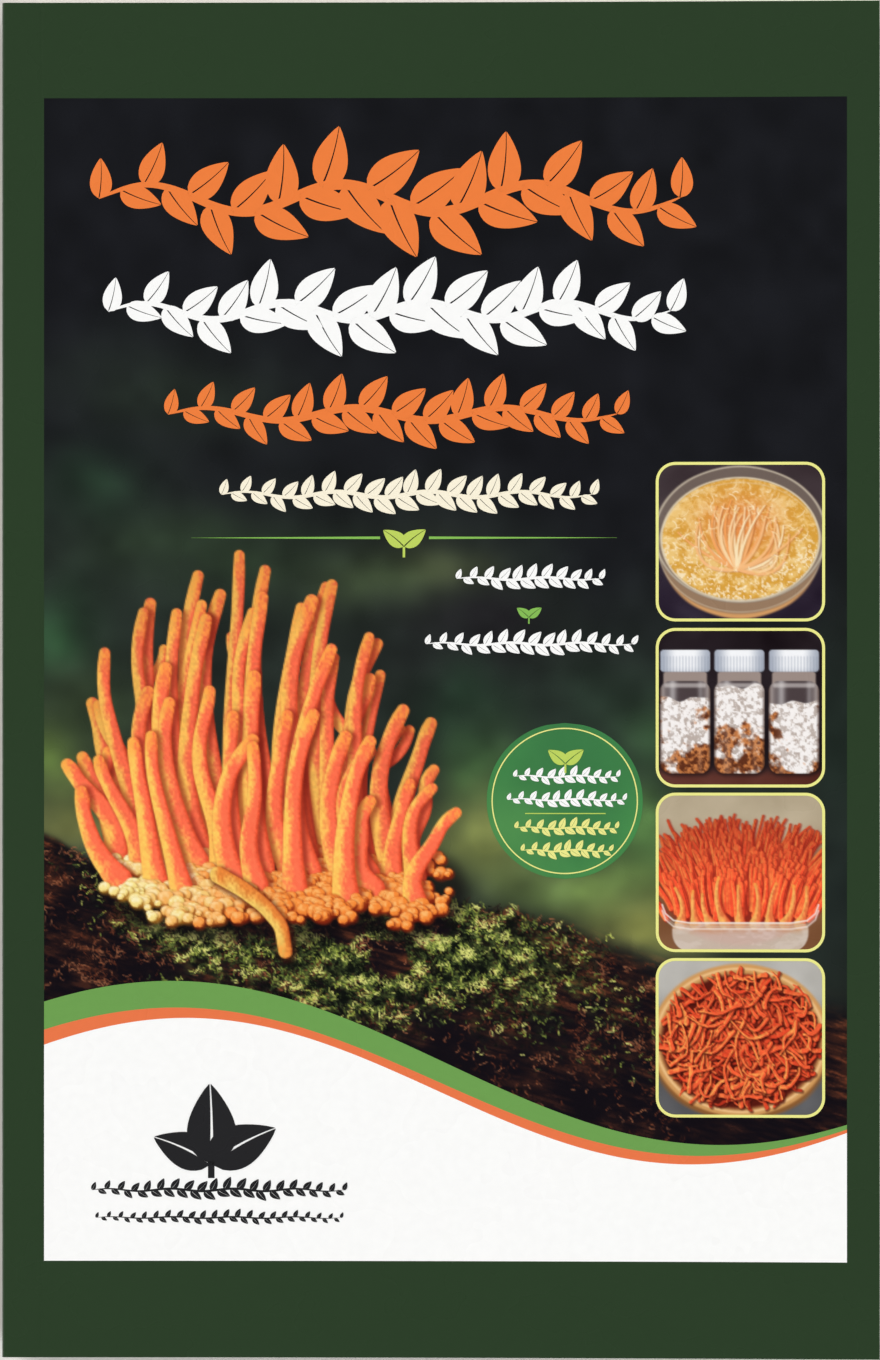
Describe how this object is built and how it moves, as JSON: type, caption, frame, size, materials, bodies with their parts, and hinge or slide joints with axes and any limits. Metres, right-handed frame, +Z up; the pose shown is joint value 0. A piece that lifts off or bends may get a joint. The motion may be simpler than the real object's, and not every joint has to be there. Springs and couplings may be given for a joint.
{
  "type": "paperback book",
  "caption": "Closed digest-size paperback lying on its back: laminated wraparound card cover glued to a block of separate leaves, with a front cover that opens on its score.",
  "frame": {"origin": "on the surface the book lies on, under the middle of the trimmed page", "axes": "+X from the spine to the fore-edge, +Y from the tail to the head, +Z up out of the front cover"},
  "size_m": [0.1397, 0.216, 0.0104],
  "materials": {
    "laminated_card": "gloss-laminated printed card, dark green",
    "paper": "uncoated off-white book paper",
    "hot_melt_glue": "translucent amber hot-melt"
  },
  "bodies": {
    "book_block": {"cover_spine_and_back": "laminated_card", "spine_glue": "hot_melt_glue", "side_glue_front": "hot_melt_glue", "side_glue_back": "hot_melt_glue", "leaf_01": "paper", "leaf_02": "paper", "leaf_03": "paper", "leaf_04": "paper", "leaf_05": "paper", "leaf_06": "paper", "leaf_07": "paper", "leaf_08": "paper", "leaf_09": "paper", "leaf_10": "paper", "leaf_11": "paper", "leaf_12": "paper", "leaf_13": "paper", "leaf_14": "paper", "leaf_15": "paper", "leaf_16": "paper", "leaf_17": "paper", "leaf_18": "paper", "leaf_19": "paper", "leaf_20": "paper", "leaf_21": "paper", "leaf_22": "paper", "leaf_23": "paper", "leaf_24": "paper", "leaf_25": "paper", "leaf_26": "paper", "leaf_27": "paper", "leaf_28": "paper", "leaf_29": "paper", "leaf_30": "paper", "leaf_31": "paper", "leaf_32": "paper", "leaf_33": "paper", "leaf_34": "paper", "leaf_35": "paper", "leaf_36": "paper", "leaf_37": "paper", "leaf_38": "paper", "leaf_39": "paper", "leaf_40": "paper", "leaf_41": "paper", "leaf_42": "paper", "leaf_43": "paper", "leaf_44": "paper", "leaf_45": "paper", "leaf_46": "paper", "leaf_47": "paper", "leaf_48": "paper", "leaf_49": "paper", "leaf_50": "paper", "leaf_51": "paper", "leaf_52": "paper", "leaf_53": "paper", "leaf_54": "paper"},
    "front_cover": {"cover_front_panel": "laminated_card"}
  },
  "joints": [
    {"name": "front_cover_score", "type": "hinge", "parent": "book_block", "child": "front_cover", "pos_m": [-0.0635, 0, 0.00877], "axis": [0, -1, 0], "range_deg": [0, 180]}
  ]
}
